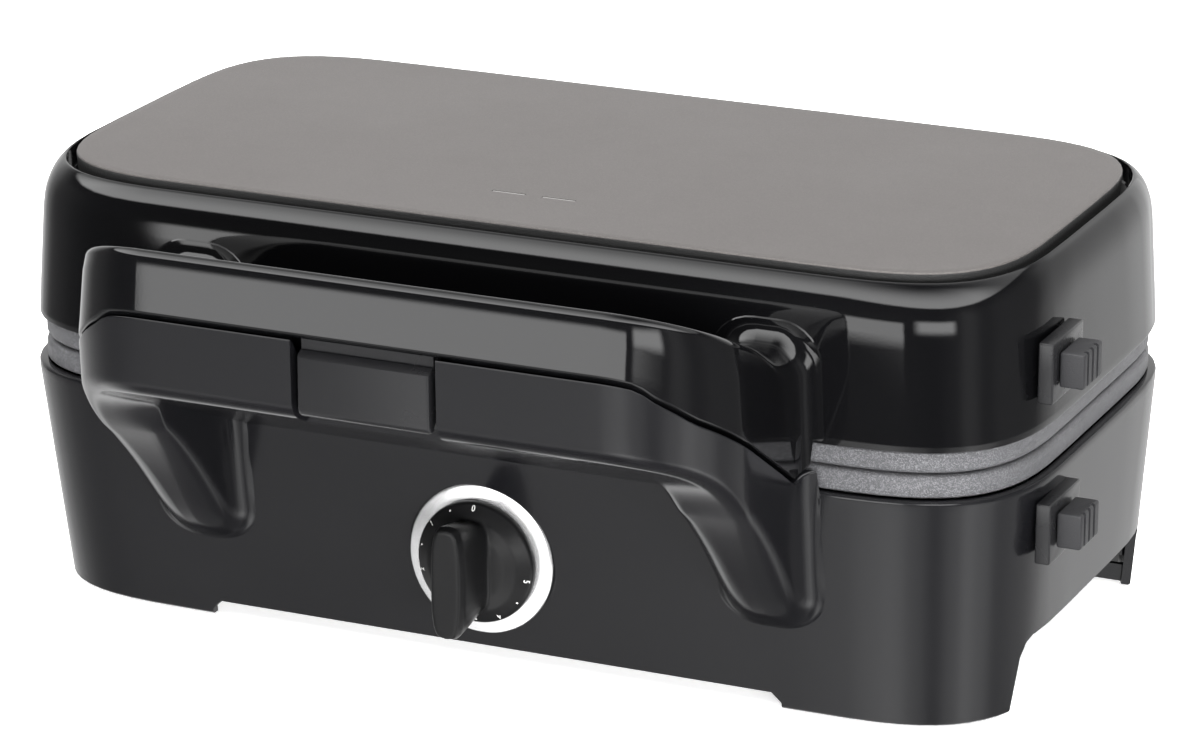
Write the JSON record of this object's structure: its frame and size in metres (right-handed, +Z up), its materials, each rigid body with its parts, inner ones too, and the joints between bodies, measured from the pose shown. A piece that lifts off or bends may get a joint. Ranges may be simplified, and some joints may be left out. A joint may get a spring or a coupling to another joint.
{
  "type": "donut maker",
  "caption": "Hinged electric ring-cake baker with a split carrying handle, latch clip, rotary thermostat and two non-stick ring-mould plates with slide releases.",
  "frame": {"origin": "bottom centre of the closed baker's bounding box, on the surface it stands on", "axes": "+X to the user's right along the long side, +Y to the hinge side at the back, +Z up; the handle and knob face -Y"},
  "size_m": [0.313, 0.2398, 0.1307],
  "materials": {
    "gloss_black": "polished injection moulding",
    "satin_black": "satin injection moulding",
    "matte_black": "fine matte texture",
    "panel_grey": "satin warm grey, brushed look",
    "nonstick": "speckled non-stick coating on die-cast aluminium",
    "chrome": "bright plated",
    "steel": "plain steel",
    "aluminium": "rolled sheet",
    "rubber": "moulded",
    "bakelite": "phenolic moulding",
    "ceramic": "unglazed steatite",
    "lens": "translucent light pipe"
  },
  "bodies": {
    "base": {"base_housing": "satin_black", "bottom_cover": "matte_black", "cover_screw_1": "steel", "cover_screw_2": "steel", "cover_screw_3": "steel", "cover_screw_4": "steel", "foot_pad_front_left": "rubber", "foot_pad_front_right": "rubber", "foot_pad_rear_left": "rubber", "foot_pad_rear_right": "rubber", "lower_reflector": "aluminium", "lower_heating_element": "steel", "lower_plate": "nonstick", "lower_release_bezel": "satin_black", "lower_release_spring": "steel", "thermostat_body": "bakelite", "knob_ring": "chrome", "terminal_block": "ceramic", "thermal_fuse": "ceramic", "cord_gland": "rubber", "hinge_bracket_left": "satin_black", "hinge_bracket_right": "satin_black", "hinge_pin_left": "steel", "hinge_pin_right": "steel", "latch_keeper": "steel"},
    "knob": {"control_knob": "satin_black", "thermostat_shaft": "steel"},
    "lower_button": {"lower_release_button": "matte_black"},
    "lid": {"lid_housing": "gloss_black", "top_panel": "panel_grey", "indicator_lens_left": "lens", "indicator_lens_right": "lens", "lamp_holder": "matte_black", "upper_reflector": "aluminium", "upper_heating_element": "steel", "upper_plate": "nonstick", "upper_release_bezel": "gloss_black", "upper_release_spring": "steel", "latch_pin": "steel", "latch_spring": "steel", "lid_hinge_arm_left": "gloss_black", "lid_hinge_arm_right": "gloss_black"},
    "latch": {"handle_latch": "satin_black"},
    "upper_button": {"upper_release_button": "matte_black"}
  },
  "joints": [
    {"name": "lid_hinge", "type": "hinge", "parent": "base", "child": "lid", "pos_m": [-0.0053, 0.11525, 0.074], "axis": [-1, 0, 0], "range_deg": [0, 100]},
    {"name": "knob_turn", "type": "hinge", "parent": "base", "child": "knob", "pos_m": [-0.0053, -0.04925, 0.0322], "axis": [0, 1, 0], "range_deg": [0, 260]},
    {"name": "handle_latch_swing", "type": "hinge", "parent": "lid", "child": "latch", "pos_m": [-0.0053, -0.11375, 0.118], "axis": [-1, 0, 0], "range_deg": [0, 12], "stiffness_Nm_per_rad": 0.06},
    {"name": "lower_release_slide", "type": "slide", "parent": "base", "child": "lower_button", "axis": [0, 1, 0], "range_m": [0, 0.006], "stiffness_N_per_m": 200},
    {"name": "upper_release_slide", "type": "slide", "parent": "lid", "child": "upper_button", "axis": [0, 1, 0], "range_m": [0, 0.006], "stiffness_N_per_m": 200}
  ]
}
